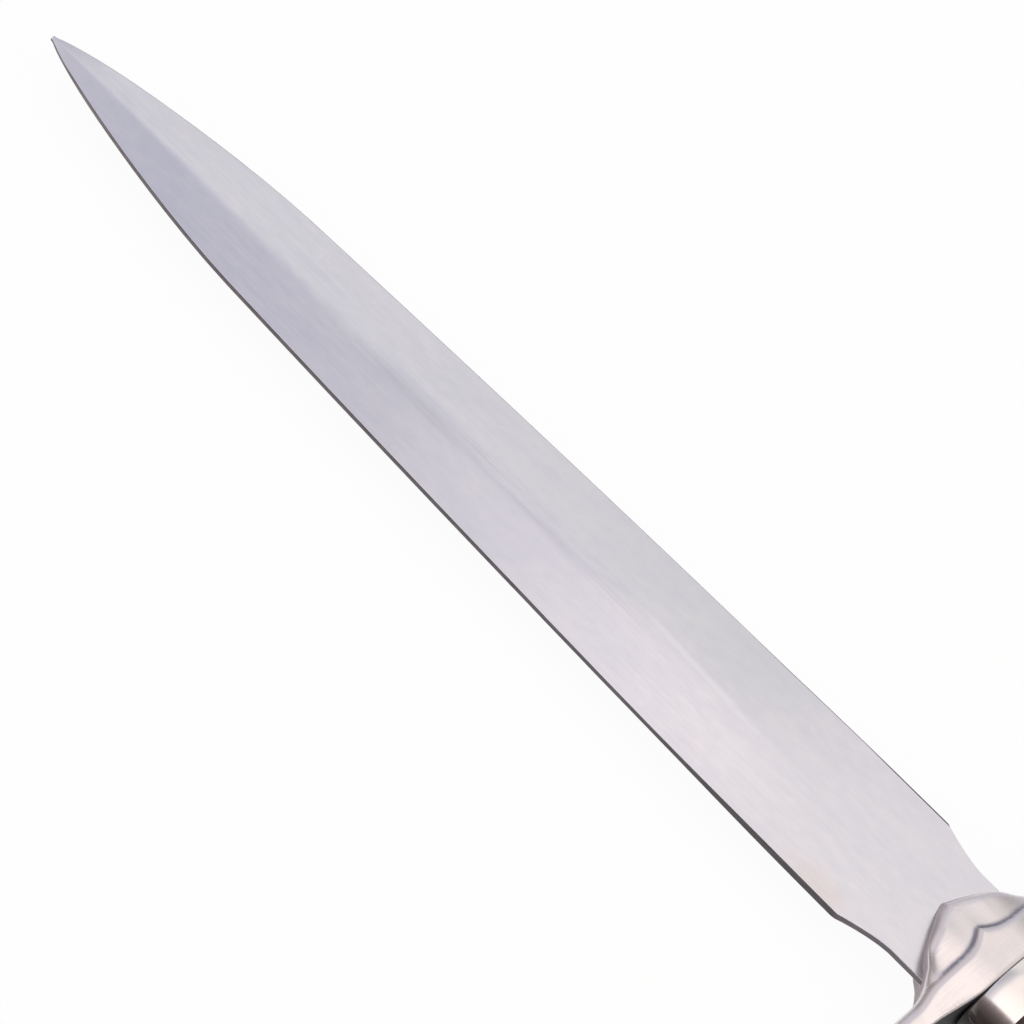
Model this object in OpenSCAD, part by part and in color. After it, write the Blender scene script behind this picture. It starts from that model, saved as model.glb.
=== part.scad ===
// Uncapping knife with a straight double-edged blade.
// The knife is modelled lying flat, with its point along +X and its upper face along +Z.
// Stations along the knife are measured from the rear face of the guard: the blade lies at
// positive x and the grip at negative x, until place() moves everything to the final origin.

/* [Blade] */
// Length of the blade from its point to the rear face of the guard
blade_len = 250.8; // [220:0.2:280]
// Width of the blade at its shoulders
blade_w = 29.4; // [27:0.2:33]
// Width of the blade where the long taper reaches the point
point_w = 23; // [20:0.2:25]
// Length of the curved point
point_len = 59; // [45:1:75]
// Thickness along the central ridge
ridge_t = 2.6; // [2.4:0.1:3]
// Thickness of the blunt edges along most of the blade
edge_t = 1.3; // [0.8:0.1:1.6]
// Thickness of the flat ricasso in front of the guard
ricasso_t = 2.1; // [1.8:0.1:2.4]
// Width of the waisted neck that enters the guard
neck_w = 24.2; // [22:0.2:25.2]
// Station of the shoulders, in front of the rear face of the guard
shoulder_x = 28.6; // [26:0.2:34]

/* [Tang] */
// Width of the flat tang behind the guard
tang_w = 12; // [10:0.5:13]
// Diameter of the threaded rod at the end of the tang
rod_d = 6; // [5:0.5:6.5]

/* [Guard] */
// Span of the guard from quillon tip to quillon tip
guard_span = 68; // [56:1:84]
// Thickness of the guard through its middle
guard_t = 15.6; // [15:0.2:18]
// Station of the point of the V-shaped nose
nose_x = 17.6; // [16.4:0.2:19]

/* [Grip] */
// Length of the wooden grip between its ferrules
grip_len = 106; // [96:1:122]
// Greatest width of the grip
grip_w = 28; // [26.5:0.5:32]
// Length of the front ferrule
ferrule_len = 7.8; // [7:0.2:10]
// Width of both ferrules
ferrule_w = 25.6; // [24.6:0.2:26.4]
// Length of the rear ferrule
rear_ferrule_len = 6; // [5:0.5:8]

/* [Pommel] */
// Length of the pommel
pommel_len = 27; // [26:0.5:32]
// Inner diameter of the lanyard bush
lanyard_d = 5; // [4:0.5:5.5]

/* [Hidden] */
$fn = 64;
clear = 0.15;
eps = 0.01;

// Blade
seat_x = 4.2;
shoulder_s = blade_len - shoulder_x;
neck_curve = 11;
neck_power = 1.5;
tip_half_w = 0.45;
tip_edge_len = 15;
tip_ridge_len = 40;
taper_start = 76;
ricasso_start = 48;
ricasso_fade = 34;
ridge_fade_start = 52;
ridge_fade = 36;
flat_lead = 14;
taper_power = 1.7;
point_fullness = 1.73;
point_power = 0.69;
tang_end_w = 9;
tang_fade = 6;

// Guard
guard_h = guard_t / 2;
quillon_h = 4.4;
quillon_r = 2.6;
quillon_sweep = 1.7;
end_r = 4.6;
span_h = guard_span / 2;

// Ferrules and gaskets
ferrule_hw = ferrule_w / 2;
ferrule_drop = 0.6;
ferrule_hh = guard_h - ferrule_drop;
web_t = 2.4;
gasket_t = 0.8;
gasket_in = 1.6;
wall_t = 1.3;
pin_d = 2.5;
pin_len = 8;
pin_y = 8.6;
pin_depth = 3;
slot_t = 3;

// Grip
grip_x0 = -ferrule_len;
grip_x1 = grip_x0 - grip_len;
grip_hw = grip_w / 2;
grip_drop = 0.3;
grip_hh = guard_h - grip_drop;
rod_lap = 22;
rod_x0 = grip_x1 + rod_lap;
rod_bore = rod_d + 1;

// Pommel
rear_x0 = grip_x1 - rear_ferrule_len;
pommel_x0 = rear_x0 - gasket_t;
butt_x = pommel_x0 - pommel_len;
pommel_swell = 1.4;
pommel_hw = ferrule_hw + pommel_swell;
washer_d = 10;
washer_t = 1;
washer_x = rear_x0 - washer_t;
nut_flats = 9;
nut_t = 4.8;
cavity_d = 10.6;
cavity_t = 5.6;
rod_depth = 12;
rod_end = pommel_x0 - rod_depth;
lanyard_inset = 7.5;
lanyard_x = butt_x + lanyard_inset;
bush_wall = 1;

function smooth(t) = t <= 0 ? 0 : t >= 1 ? 1 : t * t * (3 - 2 * t);
function mix(a, b, t) = a + (b - a) * t;

// One ring of a rounded oval in the YZ plane, with its top and bottom cut flat at height flat
function oval(hw, hh, power = 2.2, n = 64, flat = 99) = [
    for (i = [0:n - 1])
        let (a = 360 * i / n, c = cos(a), s = sin(a))
            [
                hw * sign(c) * pow(abs(c), 2 / power),
                max(-flat, min(flat, hh * sign(s) * pow(abs(s), 2 / power)))
            ]
];

function ring_at(x, outline) = [for (p = outline) [x, p[0], p[1]]];

// Flat end of a skin: a strip of triangles between the two halves of the ring that starts at k
function cap(k, n) = [
    for (j = [0:n / 2 - 2])
        each [[k + j, k + j + 1, k + n - 2 - j], [k + j, k + n - 2 - j, k + n - 1 - j]]
];

// Skin over a list of rings that all have the same even number of points
module loft(rings) {
    n = len(rings[0]);
    m = len(rings);
    sides = [
        for (i = [0:m - 2])
            for (j = [0:n - 1])
                let (a = i * n + j, b = i * n + (j + 1) % n)
                    each [[a, b, b + n], [a, b + n, a + n]]
    ];
    start = [for (f = cap(0, n)) [f[2], f[1], f[0]]];
    polyhedron([for (r = rings) each r], concat(start, sides, cap((m - 1) * n, n)), convexity = 8);
}

// Moves the knife so that the origin lies under the middle of its box
module place() {
    translate([-(blade_len + butt_x) / 2, 0, guard_h])
        children();
}

// Round bar or hole along X, from x0 to x1
module rod_x(d, x0, x1, y = 0) {
    translate([min(x0, x1), y, 0])
        rotate([0, 90, 0])
            cylinder(d = d, h = abs(x1 - x0));
}

// Slab along X, centred on the axis in Y and Z
module slab(x0, x1, w, t) {
    translate([x0, -w / 2, -t / 2])
        cube([x1 - x0, w, t]);
}

// Oval disc in the YZ plane, from x0 to x1
module oval_disc(hw, hh, x0, x1) {
    translate([x0, 0, 0])
        rotate([90, 0, 90])
            linear_extrude(height = x1 - x0)
                polygon(oval(hw, hh));
}

// Half width of the blade at distance s from its point
function taper_half(s) =
    mix(blade_w, point_w, pow((shoulder_s - s) / (shoulder_s - taper_start), taper_power)) / 2;
function point_factor(s) =
    s >= point_len ? 1 : pow(1 - pow(1 - s / point_len, point_fullness), point_power);
function blade_half(s) =
    s <= shoulder_s
        ? max(tip_half_w, taper_half(s) * point_factor(s))
        : mix(neck_w, blade_w,
            pow(max(0, 1 - (s - shoulder_s) / neck_curve), neck_power)) / 2;

// Half thickness at the edge and at the ridge, and how softly the ridge is rounded
function ricasso_share(s) = smooth((s - shoulder_s + ricasso_start) / ricasso_fade);
function edge_half(s) =
    mix(edge_t * mix(0.5, 1, smooth(s / tip_edge_len)), ricasso_t, ricasso_share(s)) / 2;
function ridge_half(s) =
    mix(ridge_t * mix(0.35, 1, 1 - pow(max(0, 1 - s / tip_ridge_len), 2)), ricasso_t,
        smooth((s - shoulder_s + ridge_fade_start) / ridge_fade)) / 2;
function ridge_soft(s) = mix(0.03, 0.2, smooth((s - 50) / 60));

function blade_z(s, t) =
    let (k = ridge_soft(s), fall = (sqrt(t * t + k * k) - k) / (sqrt(1 + k * k) - k))
        mix(ridge_half(s), edge_half(s), fall);

function blade_ring(s) =
    let (w = blade_half(s), across = [-1, -0.66, -0.33, -0.12, 0, 0.12, 0.33, 0.66, 1])
        concat(
            [for (i = [0:8]) [blade_len - s, w * across[i], -blade_z(s, abs(across[i]))]],
            [for (i = [8:-1:0]) [blade_len - s, w * across[i], blade_z(s, abs(across[i]))]]
        );

point_steps = 18;
long_steps = 22;
flat_s = shoulder_s - flat_lead;
blade_stations = concat(
    [for (i = [0:point_steps]) point_len * pow(i / point_steps, 2)],
    [for (i = [1:long_steps]) mix(point_len, flat_s, i / long_steps)]
);

// Half outline of the flat ricasso, the shoulder, the neck and the tang
plate_side = concat(
    [for (s = [flat_s, mix(flat_s, shoulder_s, 0.5)]) [blade_len - s, blade_half(s)]],
    [for (i = [0:8])
        let (s = shoulder_s + neck_curve * i / 8)
            [blade_len - s, blade_half(s)]],
    [
        [seat_x, neck_w / 2],
        [seat_x, tang_w / 2],
        [grip_x0, tang_w / 2],
        [rod_x0 - tang_fade, tang_end_w / 2]
    ]
);

module plate() {
    translate([0, 0, -ricasso_t / 2])
        linear_extrude(height = ricasso_t)
            polygon(concat(
                plate_side,
                [for (i = [len(plate_side) - 1:-1:0]) [plate_side[i][0], -plate_side[i][1]]]
            ));
}

module blade() {
    color("gainsboro")
        place()
            union() {
                loft([for (s = blade_stations) blade_ring(s)]);
                plate();
                rod_x(rod_d, rod_x0, rod_end);
            }
}

// Guard. Its sections lie in the XZ plane and follow one another along Y.
// Station of the rear face, half height, and the line where the front begins to roll down
function rear_x(a) = quillon_sweep * smooth((a - 7) / 12);
function bar_h(a) = mix(guard_h, quillon_h, smooth((a - 4) / 19));
function roll_x(a) =
    5.3 + 2.45 * pow(max(0, 1 - a / 6.5), 2.2) - 1.1 * smooth((a - 13) / 6);

// Plan outline of the V-shaped nose, and its soft join with the front of the quillon
function nose_plan(a) =
    nose_x - 0.45 * a - 0.11 * max(0, a - 2.5) - 0.14 * max(0, a - 8) - 0.9 * smooth((a - 9) / 3);
function front_x(a) =
    let (n = nose_plan(a), q = roll_x(a) + quillon_r)
        (n + q + sqrt(pow(n - q, 2) + 0.09)) / 2;

// The front of the bar is a quarter round, which the nose covers below the crease angle
function crease_angle(a) = mix(46, 90, smooth((a - 12.5) / 5));

// Height of the nose at its rim, the share of it that stands upright, and its corner radius
function rim_h(a) = mix(6, 6.6, smooth(a / 5)) - 3.3 * smooth((a - 6.5) / 11.5);
function rim_wall(a) = mix(0.6, 0.88, smooth(a / 11));
function rim_r(a) = mix(2.6, 1, smooth((a - 8) / 4));
function rim_roll(a, inset) =
    mix(sqrt(1 - pow(1 - min(1, inset / rim_r(a)), 2)), 1, rim_wall(a));

roll_steps = 7;
nose_steps = 10;

function guard_top(a) =
    let (
        h = bar_h(a),
        x0 = rear_x(a),
        x1 = roll_x(a),
        base = h - quillon_r,
        turn = crease_angle(a),
        cx = x1 + quillon_r * sin(turn),
        cz = base + quillon_r * cos(turn),
        fx = max(front_x(a), cx + eps),
        rim = min(rim_h(a), cz - 0.1)
    )
        concat(
            [[x0, h - 0.9], [x0 + 0.25, h - 0.3], [x0 + 0.9, h]],
            [[mix(x0 + 0.9, x1, 0.5), h]],
            [for (i = [0:roll_steps])
                let (b = turn * i / (roll_steps + 0.6))
                    [x1 + quillon_r * sin(b), base + quillon_r * cos(b)]],
            [[cx, cz]],
            [for (i = [1:nose_steps])
                let (q = 1 - pow(1 - i / nose_steps, 1.7), x = mix(cx, fx, q))
                    [x, mix(cz, rim, q) * rim_roll(a, fx - x)]]
        );

function guard_ring(y, shrink = 1) =
    let (top = guard_top(abs(y)), mid_x = (rear_x(abs(y)) + roll_x(abs(y)) + quillon_r) / 2)
        concat(
            [for (p = top) [mid_x + (p[0] - mid_x) * shrink, y, p[1] * shrink]],
            [for (i = [len(top) - 1:-1:0])
                [mid_x + (top[i][0] - mid_x) * shrink, y, -top[i][1] * shrink]]
        );

nose_reach = 19.5;
nose_sections = 32;
guard_side = concat(
    [for (i = [0:nose_sections]) [nose_reach * pow(i / nose_sections, 1.2), 1]],
    [for (i = [1:3]) [mix(nose_reach, span_h - end_r, i / 3), 1]],
    [for (b = [20:14:76]) [span_h - end_r * (1 - sin(b)), cos(b)]],
    [[span_h, 0.12]]
);

module guard() {
    side = len(guard_side);
    color("silver")
        place()
            difference() {
                loft(concat(
                    [for (i = [side - 1:-1:1]) guard_ring(guard_side[i][0], guard_side[i][1])],
                    [for (s = guard_side) guard_ring(-s[0], s[1])]
                ));
                slab(seat_x, nose_x + 2, neck_w + 2 * clear, ricasso_t + 2 * clear);
                slab(-1, seat_x + 1, tang_w + 2 * clear, ricasso_t + 2 * clear);
                pin_holes(-1, pin_depth);
            }
}

module pin_holes(x0, x1) {
    for (y = [-pin_y, pin_y])
        rod_x(pin_d, x0, x1, y);
}

// Fibre plate that lies in a recess of the front ferrule and seals the slot for the tang
module guard_gasket() {
    color("dimgray")
        place()
            difference() {
                oval_disc(ferrule_hw - gasket_in, ferrule_hh - gasket_in, -gasket_t, 0);
                slab(-gasket_t - 1, 1, tang_w + 2 * clear, ricasso_t + 2 * clear);
                pin_holes(-gasket_t - 1, 1);
            }
}

module front_ferrule() {
    color("whitesmoke")
        place()
            difference() {
                oval_disc(ferrule_hw, ferrule_hh, -ferrule_len, 0);
                oval_disc(ferrule_hw - gasket_in, ferrule_hh - gasket_in, -gasket_t, 1);
                oval_disc(ferrule_hw - wall_t, ferrule_hh - wall_t, -ferrule_len - 1, -web_t);
                slab(-web_t - 1, 1, tang_w + 2 * clear, ricasso_t + 2 * clear);
                pin_holes(-web_t - 1, 1);
            }
}

// Dowels that keep the guard, the front ferrule and the grip from turning on the tang
module front_pins() {
    color("gray")
        place()
            pin_holes(pin_depth - pin_len, pin_depth);
}

function grip_ring(t) =
    let (swell = sin(180 * t))
        ring_at(
            mix(grip_x0, grip_x1, t),
            oval(mix(ferrule_hw - 0.3, grip_hw, swell), mix(ferrule_hh - 0.25, grip_hh, swell), 2.3)
        );
function tenon_ring(x) =
    ring_at(x, oval(ferrule_hw - wall_t - clear, ferrule_hh - wall_t - clear));

module grip() {
    color("#2e2124")
        place()
            difference() {
                loft(concat(
                    [tenon_ring(-web_t), tenon_ring(grip_x0)],
                    [for (i = [0:20]) grip_ring(i / 20)],
                    [tenon_ring(grip_x1), tenon_ring(rear_x0 + web_t)]
                ));
                slab(rod_x0 - tang_fade - 1, 0, tang_w + 4 * clear, slot_t);
                rod_x(rod_bore, rod_x0, rear_x0);
                pin_holes(pin_depth - pin_len, 0);
                pin_holes(rear_x0, rear_x0 + pin_len);
            }
}

module rear_ferrule() {
    color("whitesmoke")
        place()
            difference() {
                oval_disc(ferrule_hw, ferrule_hh, rear_x0, grip_x1);
                oval_disc(ferrule_hw - wall_t, ferrule_hh - wall_t, rear_x0 + web_t, grip_x1 + 1);
                rod_x(rod_d + 2 * clear, rear_x0, grip_x1);
                pin_holes(rear_x0, grip_x1);
            }
}

// Dowels that keep the rear ferrule from turning on the grip
module rear_pins() {
    color("gray")
        place()
            pin_holes(rear_x0, rear_x0 + pin_len);
}

module pommel_spacer() {
    color("dimgray")
        place()
            difference() {
                oval_disc(ferrule_hw, ferrule_hh, pommel_x0, rear_x0);
                rod_x(cavity_d, pommel_x0 - 1, rear_x0 + 1);
            }
}

// Outline of the pommel at share t of its length from the rear ferrule
function pommel_ring(t) =
    let (
        swell = smooth(t / 0.45),
        end = sqrt(1 - pow(0.72 * max(0, (t - 0.7) / 0.3), 2)),
        hw = mix(ferrule_hw - 0.3, pommel_hw, swell) * end,
        hh = mix(ferrule_hh - 0.3, guard_h + 0.5, swell) * end
    )
        ring_at(pommel_x0 - pommel_len * t, oval(hw, hh, 2.5, 64, guard_h));

module pommel() {
    color("silver")
        place()
            difference() {
                loft([for (t = [0, 0.02, 0.1, 0.2, 0.3, 0.4, 0.5, 0.7, 0.76, 0.82, 0.88, 0.93, 0.97, 1])
                    pommel_ring(t)]);
                rod_x(cavity_d, pommel_x0 - cavity_t, pommel_x0 + 1);
                rod_x(rod_d, rod_end - 0.4, pommel_x0);
                translate([lanyard_x, 0, -guard_h - 1])
                    cylinder(d = lanyard_d + 2 * bush_wall, h = 2 * guard_h + 2);
            }
}

module lanyard_bush() {
    color("gold")
        place()
            translate([lanyard_x, 0, -guard_h])
                difference() {
                    cylinder(d = lanyard_d + 2 * bush_wall, h = 2 * guard_h);
                    translate([0, 0, -1])
                        cylinder(d = lanyard_d, h = 2 * guard_h + 2);
                }
}

module tang_washer() {
    color("lightgray")
        place()
            difference() {
                rod_x(washer_d, washer_x, washer_x + washer_t);
                rod_x(rod_d + 2 * clear, washer_x - 1, washer_x + washer_t + 1);
            }
}

module tang_nut() {
    color("darkgray")
        place()
            difference() {
                translate([washer_x - nut_t, 0, 0])
                    rotate([0, 90, 0])
                        cylinder(d = nut_flats / cos(30), h = nut_t, $fn = 6);
                rod_x(rod_d, washer_x - nut_t - 1, washer_x + 1);
            }
}

blade();
guard();
guard_gasket();
front_ferrule();
front_pins();
grip();
rear_ferrule();
rear_pins();
pommel_spacer();
pommel();
lanyard_bush();
tang_washer();
tang_nut();
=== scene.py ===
"""Looks of the uncapping knife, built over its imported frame.

The knife lies flat, with its point along +X and its upper face along +Z.
Lengths are in metres; MM turns a length in millimetres into metres.
"""
import math

import bpy
import numpy as np
from mathutils import Matrix, Vector


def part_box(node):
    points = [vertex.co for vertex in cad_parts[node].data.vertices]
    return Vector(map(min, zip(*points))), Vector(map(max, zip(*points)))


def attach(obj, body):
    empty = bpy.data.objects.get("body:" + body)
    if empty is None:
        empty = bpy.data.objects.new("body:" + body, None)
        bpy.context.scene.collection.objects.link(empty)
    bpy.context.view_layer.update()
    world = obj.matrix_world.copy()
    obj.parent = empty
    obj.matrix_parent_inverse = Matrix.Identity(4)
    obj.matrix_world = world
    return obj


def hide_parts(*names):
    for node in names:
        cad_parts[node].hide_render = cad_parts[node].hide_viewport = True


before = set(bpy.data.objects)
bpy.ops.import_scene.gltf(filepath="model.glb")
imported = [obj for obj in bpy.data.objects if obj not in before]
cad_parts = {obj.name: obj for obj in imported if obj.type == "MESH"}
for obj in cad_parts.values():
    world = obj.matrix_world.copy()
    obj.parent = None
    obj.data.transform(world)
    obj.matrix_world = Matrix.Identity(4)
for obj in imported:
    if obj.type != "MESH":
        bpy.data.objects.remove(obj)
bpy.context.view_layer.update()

MM = 0.001

# Places on the knife, all read from the frame
GUARD_LOW, GUARD_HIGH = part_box("guard")
GUARD_REAR_X = GUARD_LOW.x
TIP_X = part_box("blade")[1].x
MID_Z = (GUARD_LOW.z + GUARD_HIGH.z) / 2

# Camera: degrees, except for the distance in metres and the lens in millimetres
TOWARDS_GRIP = 14.33
TOWARDS_EDGE = 30.0
ROLL = 135.18
CAMERA_DISTANCE = 1.3
LENS = 252.56
AIM_FROM_TIP = 126.7 * MM
AIM_Y = 2.65 * MM

# Studio: the height of the overhead panel, and how much of the floor's white is its own glow
PANEL_Z = 0.9
FLOOR_GLOW = 0.93

# Edges of the blade that are broken, in millimetres
WIDEST_CHAMFER = 0.6
NECK_CHAMFER_UPPER, NECK_CHAMFER_LOWER = 0.08, 0.58
FAR_EDGE_CHAMFER, FAR_EDGE_MORE = 0.13, 0.22
NEAR_EDGE_CHAMFER_UPPER, NEAR_EDGE_CHAMFER_LOWER = 0.12, 0.28
CHAMFER_AT_SHOULDER = 0.02

# Castings: how hollow a crease is where its painted shade starts and where it is full, the shade's
# reach in millimetres, and how often its fading and its softening are repeated
CREASE_FROM, CREASE_SPAN = 0.2, 0.12
CREASE_REACH = 0.6
FADE_STEPS = 6
SOFTEN_STEPS = 3


# ---------------------------------------------------------------- tools

def linear(hex_colour):
    """sRGB hex, such as "c8c9d0", to a linear colour with full alpha."""
    def channel(text):
        value = int(text, 16) / 255
        return value / 12.92 if value <= 0.04045 else ((value + 0.055) / 1.055) ** 2.4
    return tuple(channel(hex_colour[i:i + 2]) for i in (0, 2, 4)) + (1.0,)


def add_node(tree, kind, settings=None, inputs=None, stops=()):
    """Adds a shader node. settings are its attributes; inputs are values, or sockets to link.

    stops are the positions and linear colours of a colour ramp.
    """
    node = tree.nodes.new(kind)
    for name, value in (settings or {}).items():
        setattr(node, name, value)
    for name, value in (inputs or {}).items():
        socket = node.inputs[name]
        if isinstance(value, bpy.types.NodeSocket):
            tree.links.new(value, socket)
        else:
            socket.default_value = value
    if stops:
        points = node.color_ramp.elements
        while len(points) < len(stops):
            points.new(0.5)
        for point, (position, colour) in zip(points, stops):
            point.position = position
            point.color = colour
    return node


def deselect():
    if bpy.context.object and bpy.context.object.mode != "OBJECT":
        bpy.ops.object.mode_set(mode="OBJECT")
    bpy.ops.object.select_all(action="DESELECT")


def pick(piece):
    """Makes a piece the only one selected, and the active one."""
    deselect()
    piece.select_set(True)
    bpy.context.view_layer.objects.active = piece


def copy_of(node_name, name):
    """A copy of a CAD node, merged into one skin, as the start of a finished piece."""
    piece = bpy.data.objects.new(name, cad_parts[node_name].data.copy())
    bpy.context.scene.collection.objects.link(piece)
    piece.data.materials.clear()
    pick(piece)
    bpy.ops.object.mode_set(mode="EDIT")
    bpy.ops.mesh.select_all(action="SELECT")
    bpy.ops.mesh.remove_doubles(threshold=0.002 * MM)
    bpy.ops.mesh.normals_make_consistent(inside=False)
    bpy.ops.object.mode_set(mode="OBJECT")
    return piece


def apply_modifier(piece, kind, **settings):
    pick(piece)
    modifier = piece.modifiers.new(kind.title(), kind)
    for name, value in settings.items():
        setattr(modifier, name, value)
    bpy.ops.object.modifier_apply(modifier=modifier.name)


def smooth_by_angle(piece, degrees):
    pick(piece)
    bpy.ops.object.shade_smooth_by_angle(angle=math.radians(degrees))


def finish_piece(piece, materials, slot, *replaced):
    """Gives a piece its materials, and lets it ride on the knife. The slot is not used."""
    for material in materials:
        piece.data.materials.append(material)
    if replaced:
        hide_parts(*replaced)
    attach(piece, "root")
    return piece


# ---------------------------------------------------------------- camera and studio

def camera():
    """A long lens above the knife, tilted towards its grip and towards one edge."""
    towards_grip = math.radians(TOWARDS_GRIP)
    towards_edge = math.radians(TOWARDS_EDGE)
    roll = math.radians(ROLL)
    aim = Vector((TIP_X - AIM_FROM_TIP, AIM_Y, MID_Z))
    back = Vector((
        -math.sin(towards_grip),
        math.cos(towards_grip) * math.sin(towards_edge),
        math.cos(towards_grip) * math.cos(towards_edge),
    ))
    along = (Vector((1, 0, 0)) - back * back.x).normalized()
    across = back.cross(along)
    right = along * math.cos(roll) - across * math.sin(roll)
    up = along * math.sin(roll) + across * math.cos(roll)
    data = bpy.data.cameras.new("camera")
    data.lens = LENS
    data.clip_end = 20
    view = bpy.data.objects.new("camera", data)
    turn = Matrix((right, up, back)).transposed().to_4x4()
    view.matrix_world = Matrix.Translation(aim + back * CAMERA_DISTANCE) @ turn
    bpy.context.scene.collection.objects.link(view)
    bpy.context.scene.camera = view


def new_material(name):
    """An empty node material: its tree and its output."""
    material = bpy.data.materials.new(name)
    material.use_nodes = True
    tree = material.node_tree
    tree.nodes.clear()
    return material, tree, add_node(tree, "ShaderNodeOutputMaterial")


def seen_share(tree):
    """1 for camera, glossy and transmission rays, and 0 for the rest."""
    path = add_node(tree, "ShaderNodeLightPath")
    seen = path.outputs["Is Camera Ray"]
    for ray in ("Is Glossy Ray", "Is Transmission Ray"):
        seen = add_node(tree, "ShaderNodeMath", {"operation": "MAXIMUM"},
                        {0: seen, 1: path.outputs[ray]}).outputs[0]
    return seen


def stage_card(name, material, width, height, place, turn=(0, 0, 0)):
    """A flat card of the studio that the camera doesn't see."""
    deselect()
    bpy.ops.mesh.primitive_plane_add(size=1)
    card = bpy.context.object
    card.name = name
    card.scale = (width, height, 1)
    card.location = place
    card.rotation_euler = [math.radians(a) for a in turn]
    card.data.materials.append(material)
    card.visible_camera = False
    return card


def level_ramp(tree, value, levels, tint=(1, 1, 1)):
    """A glow that follows a value: levels are pairs of the value and a level, or a tinted level."""
    low, high = levels[0][0], levels[-1][0]
    share = add_node(tree, "ShaderNodeMapRange", inputs={
        "Value": value, "From Min": low, "From Max": high}).outputs["Result"]
    stops = []
    for place, level in levels:
        colour = level if isinstance(level, tuple) else [level * part for part in tint]
        stops.append(((place - low) / (high - low), (*colour, 1)))
    ramp = add_node(tree, "ShaderNodeValToRGB", inputs={"Fac": share}, stops=stops)
    return ramp.outputs["Color"]


def world_place(tree):
    spot = add_node(tree, "ShaderNodeNewGeometry").outputs["Position"]
    return add_node(tree, "ShaderNodeSeparateXYZ", inputs={0: spot}).outputs


def glowing(name, colour_of):
    """A material that only glows: colour_of builds its colour from the world's X, Y and Z."""
    material, tree, output = new_material(name)
    colour = colour_of(tree, world_place(tree))
    glow = add_node(tree, "ShaderNodeEmission", inputs={"Color": colour, "Strength": 1.0})
    tree.links.new(glow.outputs[0], output.inputs["Surface"])
    return material


def cross_fade(tree, value, start, end, first, second):
    """The first light up to start, the second from end on, and a soft passage between them."""
    share = add_node(tree, "ShaderNodeMapRange", {"interpolation_type": "SMOOTHSTEP"}, {
        "Value": value, "From Min": start, "From Max": end}).outputs["Result"]
    return add_node(tree, "ShaderNodeMix", {"data_type": "RGBA"}, {
        0: share, 6: first, 7: second}).outputs[2]


def softbox_light(tree, place):
    """The overhead panel. Its near strip is cool over the point and warm over the guard, it
    falls off towards the back, and it is even and bluish far out in front of the point."""
    near = level_ramp(tree, place["X"], (
        (0.18, (1.34, 1.27, 1.21)), (0.24, (1.34, 1.26, 1.24)), (0.285, (1.26, 1.2, 1.23)),
        (0.303, (1.03, 1.01, 1.04)), (0.32, (0.92, 0.9, 0.93)), (0.38, (0.76, 0.76, 0.8)),
        (0.42, (0.57, 0.59, 0.67)), (0.455, (0.66, 0.67, 0.77)), (0.52, (0.7, 0.71, 0.8)),
        (0.72, (0.84, 0.82, 0.86)), (1.1, (0.8, 0.76, 0.78)), (1.8, (0.62, 0.57, 0.59))))
    gain = level_ramp(tree, place["Y"], ((-0.3, 1.0), (-0.1, 1.12), (0.15, 1.2)))
    near = add_node(tree, "ShaderNodeMix", {"data_type": "RGBA", "blend_type": "MULTIPLY"}, {
        0: 1.0, 6: near, 7: gain}).outputs[2]
    far = level_ramp(tree, place["Y"], (
        (-3.2, 0.42), (-2.2, 0.44), (-1.6, 0.5), (-1.15, 0.66), (-0.9, 0.82), (-0.75, 1.0),
        (-0.5, 1.06)), (1, 1, 0.99))
    side = level_ramp(tree, place["X"], ((0.12, 0.9), (0.3, 0.94), (0.36, 1.0), (0.5, 1.07)))
    far = add_node(tree, "ShaderNodeMix", {"data_type": "RGBA", "blend_type": "MULTIPLY"}, {
        0: 1.0, 6: far, 7: side}).outputs[2]
    far = cross_fade(tree, place["X"], 0.5, 0.95, far, (0.76, 0.77, 0.84, 1))
    return cross_fade(tree, place["Y"], -0.6, -0.45, far, near)


def flag_light(tree, place):
    """Dark cloth past the panel's near edge, which catches a little reddish light there. In
    front of the knife the cloth is thin, and lets the light through."""
    cloth = level_ramp(tree, place["Y"], (
        (0.2, 0.52), (0.32, 0.25), (0.5, 0.13), (0.9, 0.06), (1.5, 0.035)), (1.0, 0.84, 0.85))
    thin = level_ramp(tree, place["Y"], ((0.2, 0.95), (0.6, 0.7), (1.0, 0.2)), (1.0, 0.95, 0.94))
    return cross_fade(tree, place["X"], 0.5, 0.75, cloth, thin)


def side_light(tree, place):
    """The dark cloth hangs down at the side, darkest at the floor."""
    return level_ramp(tree, place["Z"], ((0.0, 0.02), (0.9, 0.06)), (1.0, 0.88, 0.88))


def wall_light(tree, place):
    """Walls of the room: grey and bluish behind, brown and darker towards the cloths."""
    cool = level_ramp(tree, place["Z"], ((0.0, (0.5, 0.5, 0.57)), (0.9, (0.74, 0.75, 0.82))))
    brown = level_ramp(tree, place["Z"], (
        (0.0, (0.2, 0.17, 0.18)), (0.3, (0.42, 0.38, 0.39)), (0.9, (0.62, 0.57, 0.59))))
    return cross_fade(tree, place["Y"], -0.7, -0.3, cool, brown)


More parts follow.
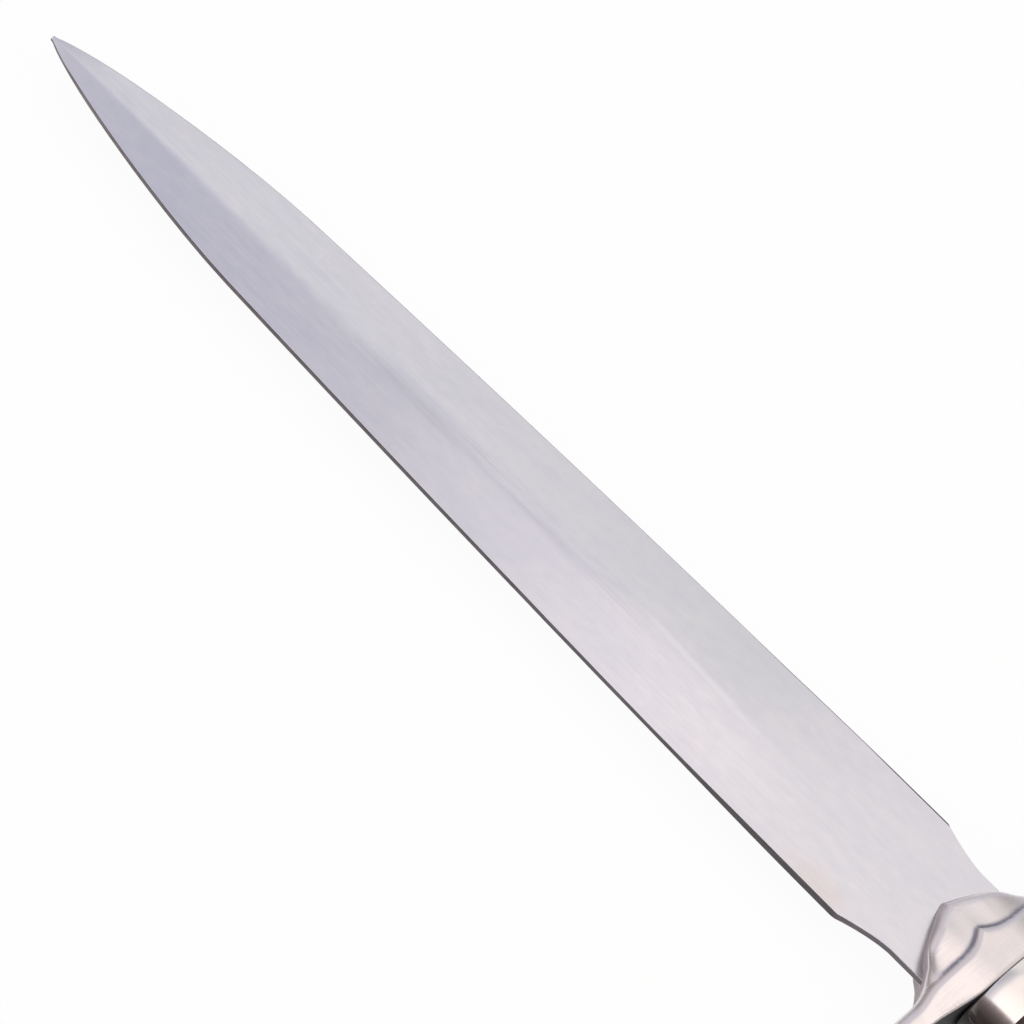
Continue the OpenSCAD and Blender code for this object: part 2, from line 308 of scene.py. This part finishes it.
def studio():
    scene = bpy.context.scene
    scene.view_settings.view_transform = "Standard"

    world = bpy.data.worlds.new("white room")
    world.use_nodes = True
    tree = world.node_tree
    level = add_node(tree, "ShaderNodeMapRange", inputs={
        "Value": seen_share(tree), "To Min": 0.8, "To Max": 1.0}).outputs["Result"]
    background = tree.nodes["Background"]
    background.inputs["Color"].default_value = (1, 1, 1, 1)
    tree.links.new(level, background.inputs["Strength"])
    scene.world = world

    paper, tree, output = new_material("white paper sweep")
    lit = add_node(tree, "ShaderNodeBsdfDiffuse", inputs={"Color": linear("fafafa")})
    white = add_node(tree, "ShaderNodeEmission", inputs={"Color": (1, 1, 1, 1), "Strength": 1.0})
    share = add_node(tree, "ShaderNodeMath", {"operation": "MULTIPLY"},
                     {0: seen_share(tree), 1: FLOOR_GLOW}).outputs[0]
    mixed = add_node(tree, "ShaderNodeMixShader", inputs={
        0: share, 1: lit.outputs[0], 2: white.outputs[0]})
    tree.links.new(mixed.outputs[0], output.inputs["Surface"])
    floor = stage_card("floor", paper, 8, 8, (0, 0, 0))
    floor.visible_camera = True

    stage_card("softbox", glowing("softbox cloth", softbox_light), 3.6, 3.4,
               (0.1, -1.5, PANEL_Z), (180, 0, 0))

    cloth = glowing("dark flag cloth", flag_light)
    hanging = glowing("hanging flag cloth", side_light)
    grey = glowing("grey wall", wall_light)
    for name, material, width, height, place, turn in (
        ("near flag", cloth, 3.12, 1.3, (0.36, 0.22 + 0.65, PANEL_Z), (0, 0, 0)),
        ("side flag", hanging, 3.12, PANEL_Z, (0.36, 1.52, PANEL_Z / 2), (90, 0, 0)),
        ("front wall", grey, 4.72, PANEL_Z, (1.92, -0.84, PANEL_Z / 2), (90, 0, 90)),
        ("back wall", grey, 2.0, PANEL_Z, (0.92, -3.2, PANEL_Z / 2), (90, 0, 0)),
    ):
        card = stage_card(name, material, width, height, place, turn)
        card.visible_diffuse = False
        card.visible_shadow = False
        card.visible_transmission = False


# ---------------------------------------------------------------- materials

def clouds(tree, size, detail=2.0):
    """A cloudy pattern from 0 to 1 in object space, with clouds of size (x, y, z) millimetres."""
    place = add_node(tree, "ShaderNodeTexCoord").outputs["Object"]
    scaled = add_node(tree, "ShaderNodeMapping", inputs={
        "Vector": place, "Scale": [1 / (length * MM) for length in size]}).outputs[0]
    return add_node(tree, "ShaderNodeTexNoise", inputs={
        "Vector": scaled, "Scale": 1.0, "Detail": detail}).outputs[0]


def tones(tree, pattern, dark, light):
    """Two hex colours, mixed by a cloudy pattern with its contrast raised."""
    share = add_node(tree, "ShaderNodeMapRange", inputs={
        "Value": pattern, "From Min": 0.3, "From Max": 0.7}).outputs["Result"]
    return add_node(tree, "ShaderNodeMix", {"data_type": "RGBA"}, {
        0: share, 6: linear(dark), 7: linear(light)}).outputs[2]


def surface(tree, output, colour, rough, heights, metallic=1.0, coat=0.0):
    """The shader, linked up and handed back: rough is a pattern and its low and high roughness,
    heights are relief patterns with their depths in millimetres."""
    pattern, low, high = rough
    roughness = add_node(tree, "ShaderNodeMapRange", inputs={
        "Value": pattern, "From Min": 0.25, "From Max": 0.75, "To Min": low, "To Max": high})
    shader = add_node(tree, "ShaderNodeBsdfPrincipled", inputs={
        "Base Color": colour, "Metallic": metallic, "Roughness": roughness.outputs["Result"],
        "Coat Weight": coat, "Coat Roughness": 0.12})
    normal = None
    for height, depth in heights:
        relief = add_node(tree, "ShaderNodeBump", inputs={
            "Strength": 1.0, "Distance": depth * MM, "Height": height})
        if normal:
            tree.links.new(normal, relief.inputs["Normal"])
        normal = relief.outputs["Normal"]
    if normal:
        tree.links.new(normal, shader.inputs["Normal"])
    tree.links.new(shader.outputs[0], output.inputs["Surface"])
    return shader


def window(tree, value, rise_from, rise_to, fall_from, fall_to):
    """1 between rise_to and fall_from, 0 outside, with soft ends."""
    ends = []
    for start, end, first, last in ((rise_from, rise_to, 0, 1), (fall_from, fall_to, 1, 0)):
        ends.append(add_node(tree, "ShaderNodeMapRange", {"interpolation_type": "SMOOTHSTEP"}, {
            "Value": value, "From Min": start, "From Max": end,
            "To Min": first, "To Max": last}).outputs["Result"])
    both = add_node(tree, "ShaderNodeMath", {"operation": "MULTIPLY"}, dict(enumerate(ends)))
    return both.outputs[0]


def satin_steel():
    """Satin ground stainless steel: belt lines along the blade blur what it reflects."""
    material, tree, output = new_material("satin ground stainless steel")
    place = add_node(tree, "ShaderNodeTexCoord").outputs["Object"]
    split = add_node(tree, "ShaderNodeSeparateXYZ", inputs={0: place})
    from_tip = add_node(tree, "ShaderNodeMath", {"operation": "SUBTRACT"},
                        {0: TIP_X, 1: split.outputs["X"]}).outputs[0]

    # Uneven pressure on the belt leaves soft clouds and small flecks, from bluish to pinkish
    both = add_node(tree, "ShaderNodeMath", {"operation": "ADD"}, {
        0: clouds(tree, (26, 8, 26)), 1: clouds(tree, (3.4, 1.6, 3.4), 3.0)}).outputs[0]
    even = add_node(tree, "ShaderNodeMath", {"operation": "MULTIPLY"},
                    {0: both, 1: 0.5}).outputs[0]
    colour = tones(tree, even, "cdccd4", "d7d4d9")

    # Belt lines lie about 0.05 mm apart, and are drawn 0.35 mm apart so that they show
    lines = clouds(tree, (14, 0.35, 14), 2.0)

    # Where the two bevels blend, long strokes of the grinder run along the ridge
    side = add_node(tree, "ShaderNodeMath", {"operation": "ABSOLUTE"},
                    {0: split.outputs["Y"]}).outputs[0]
    near_ridge = add_node(tree, "ShaderNodeMapRange", {"interpolation_type": "SMOOTHSTEP"}, {
        "Value": side, "From Min": 0.5 * MM, "From Max": 3.2 * MM,
        "To Min": 1.0, "To Max": 0.0}).outputs["Result"]
    along = window(tree, from_tip, 80 * MM, 95 * MM, 148 * MM, 168 * MM)
    share = add_node(tree, "ShaderNodeMath", {"operation": "MULTIPLY"},
                     {0: near_ridge, 1: along}).outputs[0]
    stroke_tone = tones(tree, clouds(tree, (24, 0.6, 24), 2.0), "eeeef2", "ffffff")
    colour = add_node(tree, "ShaderNodeMix", {"data_type": "RGBA", "blend_type": "MULTIPLY"}, {
        0: share, 6: colour, 7: stroke_tone}).outputs[2]

    # A faint light line, where the ridge runs out and drifts off the middle
    drift = add_node(tree, "ShaderNodeMapRange", inputs={
        "Value": from_tip, "From Min": 158 * MM, "From Max": 189 * MM,
        "To Min": -1.6 * MM, "To Max": 0.0}).outputs["Result"]
    offset = add_node(tree, "ShaderNodeMath", {"operation": "SUBTRACT"},
                      {0: split.outputs["Y"], 1: drift}).outputs[0]
    on_line = window(tree, offset, -1.1 * MM, 0.0, 0.0, 1.1 * MM)
    line_span = window(tree, from_tip, 150 * MM, 164 * MM, 176 * MM, 194 * MM)
    line_share = add_node(tree, "ShaderNodeMath", {"operation": "MULTIPLY"},
                          {0: on_line, 1: line_span}).outputs[0]
    weaker = add_node(tree, "ShaderNodeMath", {"operation": "MULTIPLY"},
                      {0: line_share, 1: 0.32}).outputs[0]
    colour = add_node(tree, "ShaderNodeMix", {"data_type": "RGBA"}, {
        0: weaker, 6: colour, 7: linear("eae7ea")}).outputs[2]

    # A faint straw-coloured patch beside the shoulder, on the +Y side of the blade only
    patch_along = window(tree, from_tip, 205 * MM, 215 * MM, 219 * MM, 224 * MM)
    patch_across = window(tree, split.outputs["Y"], 9 * MM, 13 * MM, 16 * MM, 17 * MM)
    straw_patch = add_node(tree, "ShaderNodeMath", {"operation": "MULTIPLY"},
                   {0: patch_along, 1: patch_across}).outputs[0]
    straw_patch = add_node(tree, "ShaderNodeMath", {"operation": "MULTIPLY"},
                   {0: straw_patch, 1: 0.25}).outputs[0]
    colour = add_node(tree, "ShaderNodeMix", {"data_type": "RGBA"}, {
        0: straw_patch, 6: colour, 7: linear("d2bdb2")}).outputs[2]

    surface(tree, output, colour, (lines, 0.19, 0.26),
            ((lines, 0.0005), (clouds(tree, (30, 12, 30), 1.0), 0.03)))
    return material


def painted_edge_shade():
    """Painted shade on the blade's upright edges: a dark colour with small lighter spots, which
    stands in for the shade and dark reflections that they show. It is lighter towards the point,
    and lighter again at the neck."""
    material, tree, output = new_material("painted shade of the blade edges")
    spots = clouds(tree, (3, 0.8, 0.8), 3.0)
    place = add_node(tree, "ShaderNodeTexCoord").outputs["Object"]
    along = add_node(tree, "ShaderNodeSeparateXYZ", inputs={0: place}).outputs["X"]
    # The painted edge shade grows lighter towards the point and at the neck
    shade_lightening = level_ramp(tree, along, (
        (TIP_X - 230 * MM, 1.6), (TIP_X - 223.5 * MM, 1.6), (TIP_X - 221 * MM, 0.95),
        (TIP_X - 190 * MM, 0.95), (TIP_X - 165 * MM, 1.35), (TIP_X - 60 * MM, 1.6), (TIP_X, 2.3)))
    colour = add_node(tree, "ShaderNodeMix", {"data_type": "RGBA", "blend_type": "MULTIPLY"}, {
        0: 1.0, 6: tones(tree, spots, "4a4549", "676064"), 7: shade_lightening}).outputs[2]
    surface(tree, output, colour, (spots, 0.42, 0.6), ((spots, 0.01),))
    return material


def cast_steel():
    """Polished cast steel, bright on its flatter faces. A dull brownish painted shade lies along
    its upright flanks, and a dark bluish painted shade in its creases."""
    material, tree, output = new_material("polished cast steel")
    bright = tones(tree, clouds(tree, (7, 4, 5)), "dad3d4", "e2dad9")
    # A dull brownish painted shade for the upright flanks, and a dark bluish painted shade for the
    # creases
    skin = tones(tree, clouds(tree, (1.2, 1.2, 1.2), 3.0), "a3989b", "b8adb0")
    crease_shade = tones(tree, clouds(tree, (2.5, 2.5, 2.5)), "46485f", "5c5e78")
    unshaded, crease = (
        add_node(tree, "ShaderNodeAttribute", {"attribute_name": name}).outputs["Fac"]
        for name in ("unshaded", "crease"))
    # Below zero, on the rear face towards the ferrule, a black painted shadow
    clear_of_shadow = add_node(tree, "ShaderNodeMapRange", inputs={
        "Value": unshaded, "From Min": -1.0, "From Max": 0.0}).outputs["Result"]
    skin = add_node(tree, "ShaderNodeMix", {"data_type": "RGBA"}, {
        0: clear_of_shadow, 6: linear("1c1a1c"), 7: skin}).outputs[2]
    # The upright flanks and then the creases take their painted shade
    colour = add_node(tree, "ShaderNodeMix", {"data_type": "RGBA"}, {
        0: unshaded, 6: skin, 7: bright}).outputs[2]
    colour = add_node(tree, "ShaderNodeMix", {"data_type": "RGBA"}, {
        0: crease, 6: colour, 7: crease_shade}).outputs[2]
    # Lines of the polishing wheel, drawn 0.3 mm apart so that they show
    wheel = clouds(tree, (0.3, 6, 6), 2.0)
    shader = surface(tree, output, colour, (wheel, 0.25, 0.33), ((wheel, 0.0003),))
    # Under the painted shade the surface is dull, and hardly a metal
    dull = add_node(tree, "ShaderNodeMapRange", inputs={
        "Value": unshaded, "To Min": 0.7, "To Max": shader.inputs["Roughness"].links[0].from_socket})
    tree.links.new(dull.outputs["Result"], shader.inputs["Roughness"])
    metal = add_node(tree, "ShaderNodeMapRange", inputs={"Value": unshaded})
    tree.links.new(metal.outputs["Result"], shader.inputs["Metallic"])
    return material


def mirror_steel():
    """Buffed steel sleeve: nearly a mirror, with a haze of hairline scratches round it."""
    material, tree, output = new_material("buffed steel sleeve")
    hairlines = clouds(tree, (0.25, 5, 5), 3.0)
    surface(tree, output, tones(tree, clouds(tree, (4, 6, 4)), "d9d3d1", "e1dbd8"),
            (hairlines, 0.09, 0.17), ((hairlines, 0.0004),))
    return material


def hardwood():
    """Oiled dark hardwood: reddish brown bands along the grip, with open pores."""
    material, tree, output = new_material("oiled dark hardwood")
    bands = clouds(tree, (45, 2.2, 2.2), 3.0)
    pores = clouds(tree, (4.0, 0.25, 0.25), 2.0)
    pits = add_node(tree, "ShaderNodeMapRange", inputs={
        "Value": pores, "From Min": 0.32, "From Max": 0.42}).outputs["Result"]
    colour = add_node(tree, "ShaderNodeMix", {"data_type": "RGBA"}, {
        0: pits, 6: linear("170d0f"), 7: tones(tree, bands, "2e1b1e", "4a2d2e")}).outputs[2]
    surface(tree, output, colour, (bands, 0.3, 0.45), ((pits, 0.03), (bands, 0.02)), 0.0, 0.25)
    return material


def vulcanised_fibre():
    """Black vulcanised fibre: matt, with the faint felt of its pressed paper."""
    material, tree, output = new_material("black vulcanised fibre")
    felt = clouds(tree, (1.2, 0.4, 0.4), 4.0)
    colour = tones(tree, felt, "161617", "262527")
    surface(tree, output, colour, (felt, 0.55, 0.7), ((felt, 0.01),), 0.0)
    return material


def drawn_brass():
    """Drawn brass tube: die lines along it, a little browned by handling."""
    material, tree, output = new_material("drawn brass")
    lines = clouds(tree, (0.3, 0.3, 8), 3.0)
    colour = tones(tree, clouds(tree, (2, 2, 3), 3.0), "9c7638", "c29c54")
    surface(tree, output, colour, (lines, 0.25, 0.4), ((lines, 0.002),))
    return material


def turned_steel():
    """Turned mild steel: fine tool marks across the axis, drawn 0.25 mm apart so that they show."""
    material, tree, output = new_material("turned mild steel")
    marks = clouds(tree, (0.25, 20, 20), 2.0)
    colour = tones(tree, clouds(tree, (3, 3, 3), 3.0), "7f8085", "9a9a9e")
    surface(tree, output, colour, (marks, 0.3, 0.45), ((marks, 0.004),))
    return material


# ---------------------------------------------------------------- pieces

def ease(value, start, end):
    share = min(1, max(0, (value - start) / (end - start)))
    return share * share * (3 - 2 * share)


def blade(satin, painted_dark_edge):
    """The blade: its upright edges take a painted dark edge, which stands in for their shade. The
    far edge, at -Y, is broken more towards the shoulder and the near edge less, and the neck's
    edges are filed bright."""
    piece = copy_of("blade", "blade_steel")
    apply_modifier(piece, "DECIMATE", decimate_type="DISSOLVE", angle_limit=math.radians(0.05))
    mesh = piece.data
    for material in (satin, painted_dark_edge):
        mesh.materials.append(material)
    shoulder_x = max(mesh.vertices, key=lambda vertex: vertex.co.y).co.x
    edge_faces = {}
    for face in mesh.polygons:
        # Upright faces outside the guard take the painted shade of the edges
        upright = abs(face.normal.z) < 0.3
        outside = face.center.x > GUARD_REAR_X + 4 * MM
        face.material_index = 1 if upright and outside else 0
        for key in face.edge_keys:
            edge_faces.setdefault(key, []).append(face.material_index)
    weights = mesh.attributes.new("bevel_weight_edge", "FLOAT", "EDGE")
    for edge in mesh.edges:
        if sorted(edge_faces[edge.key]) != [0, 1]:
            continue
        middle = (mesh.vertices[edge.vertices[0]].co + mesh.vertices[edge.vertices[1]].co) / 2
        to_shoulder = (middle.x - shoulder_x) / MM
        upper_face = middle.z > MID_Z
        if to_shoulder < -0.2:
            width = NECK_CHAMFER_UPPER if upper_face else NECK_CHAMFER_LOWER
        elif middle.y < 0:
            width = FAR_EDGE_CHAMFER + FAR_EDGE_MORE * ease(-to_shoulder, -42, -6)
        else:
            whole = NEAR_EDGE_CHAMFER_UPPER if upper_face else NEAR_EDGE_CHAMFER_LOWER
            width = whole + (CHAMFER_AT_SHOULDER - whole) * ease(-to_shoulder, -100, -55)
        width *= 0.15 + 0.85 * ease((TIP_X - middle.x) / MM, 0, 8)
        weights.data[edge.index].value = width / WIDEST_CHAMFER
    apply_modifier(piece, "BEVEL", width=WIDEST_CHAMFER * MM, segments=2, limit_method="WEIGHT",
                   material=1, use_clamp_overlap=False)
    for face in piece.data.polygons:
        if face.center.x < shoulder_x - 0.3 * MM and 0.3 < abs(face.normal.z) < 0.99:
            face.material_index = 0
    smooth_by_angle(piece, 15)
    return finish_piece(piece, (), "satin_steel", "blade")


def cast_surface(piece, paint_rear_shadow):
    """Stores how free each point of a casting is of painted shade, and where its creases are. A
    rear face with a painted shadow goes below zero."""
    mesh = piece.data
    count = len(mesh.vertices)
    normals = np.empty(count * 3)
    mesh.vertices.foreach_get("normal", normals)
    normals = normals.reshape(count, 3)
    points = np.empty(count * 3)
    mesh.vertices.foreach_get("co", points)
    points = points.reshape(count, 3)
    ends = np.empty(len(mesh.edges) * 2, dtype=int)
    mesh.edges.foreach_get("vertices", ends)
    first, second = ends.reshape(-1, 2).T
    degree = np.bincount(ends, minlength=count)

    # A neighbour that stands above the tangent plane makes a point hollow
    step = points[second] - points[first]
    length = np.linalg.norm(step, axis=1)
    rise = np.zeros(count)
    np.add.at(rise, first, (step * normals[first]).sum(axis=1) / length)
    np.add.at(rise, second, (-step * normals[second]).sum(axis=1) / length)
    hollow = np.clip(rise / degree / 0.15, 0, 1)

    def fade_out(values, reach):
        """The values, and round them a fall to nothing over the reach along the skin, in mm."""
        values = values.copy()
        drop = length / (reach * MM)
        for _ in range(FADE_STEPS):
            np.maximum.at(values, first, values[second] - drop)
            np.maximum.at(values, second, values[first] - drop)
        return values

    # The painted shade of the creases of the upper and lower face, alike on both sides, with
    # softened borders
    line = np.clip((hollow - CREASE_FROM) / CREASE_SPAN, 0, 1) * (np.abs(normals[:, 2]) > 0.8)
    crease = fade_out(line, CREASE_REACH)
    for _ in range(SOFTEN_STEPS):
        crease = (np.bincount(first, crease[second], count)
                  + np.bincount(second, crease[first], count)) / degree

    # Upright flanks get painted shade, and a rear face, where asked, a black painted shadow
    height = np.abs(normals[:, 2])
    share = np.clip((height - 0.03) / 0.35, 0, 1)
    rear = np.clip((-normals[:, 0] - 0.88) / 0.09, 0, 1) if paint_rear_shadow else 0
    unshaded = share * share * (3 - 2 * share) * (1 - rear) - rear
    for name, values in (("unshaded", unshaded), ("crease", np.clip(crease, 0, 1))):
        stored = mesh.attributes.new(name, "FLOAT", "POINT").data
        stored.foreach_set("value", values.astype(np.float32))


def casting(node_name, name, material, voxel, paint_rear_shadow=False):
    """A casting: its facets melt into one skin, with the soft edges that polishing leaves."""
    piece = copy_of(node_name, name)
    apply_modifier(piece, "REMESH", mode="VOXEL", voxel_size=voxel * MM, use_smooth_shade=True)
    apply_modifier(piece, "SMOOTH", factor=0.5, iterations=3)
    smooth_by_angle(piece, 60)
    cast_surface(piece, paint_rear_shadow)
    return finish_piece(piece, (material,), "cast_steel", node_name)


def machined(node_name, name, material, slot, chamfer, angle=30):
    """A turned, pressed or cut piece: its flats are made whole and its sharp edges broken."""
    piece = copy_of(node_name, name)
    apply_modifier(piece, "DECIMATE", decimate_type="DISSOLVE", angle_limit=math.radians(0.5))
    apply_modifier(piece, "BEVEL", width=chamfer * MM, segments=2, limit_method="ANGLE",
                   angle_limit=math.radians(50))
    smooth_by_angle(piece, angle)
    return finish_piece(piece, (material,), slot, node_name)


camera()
studio()

cast = cast_steel()
buffed = mirror_steel()
fibre = vulcanised_fibre()
turned = turned_steel()

blade(satin_steel(), painted_edge_shade())
casting("guard", "guard_casting", cast, 0.22, paint_rear_shadow=True)
casting("pommel", "pommel_casting", cast, 0.3)
grip_handle = copy_of("grip", "grip_handle")
smooth_by_angle(grip_handle, 40)
finish_piece(grip_handle, (hardwood(),), "dark_hardwood", "grip")
machined("front_ferrule", "front_ferrule_sleeve", buffed, "polished_steel", 0.25)
machined("rear_ferrule", "rear_ferrule_sleeve", buffed, "polished_steel", 0.25)
machined("guard_gasket", "guard_gasket_plate", fibre, "black_fibre", 0.1)
machined("pommel_spacer", "pommel_spacer_plate", fibre, "black_fibre", 0.1)
machined("front_pins", "front_dowels", turned, "plain_steel", 0.2)
machined("rear_pins", "rear_dowels", turned, "plain_steel", 0.2)
machined("tang_washer", "tang_washer_ring", turned, "plain_steel", 0.12)
machined("tang_nut", "tang_nut_hexagon", turned, "plain_steel", 0.2)
machined("lanyard_bush", "lanyard_bush_tube", drawn_brass(), "brass", 0.15)
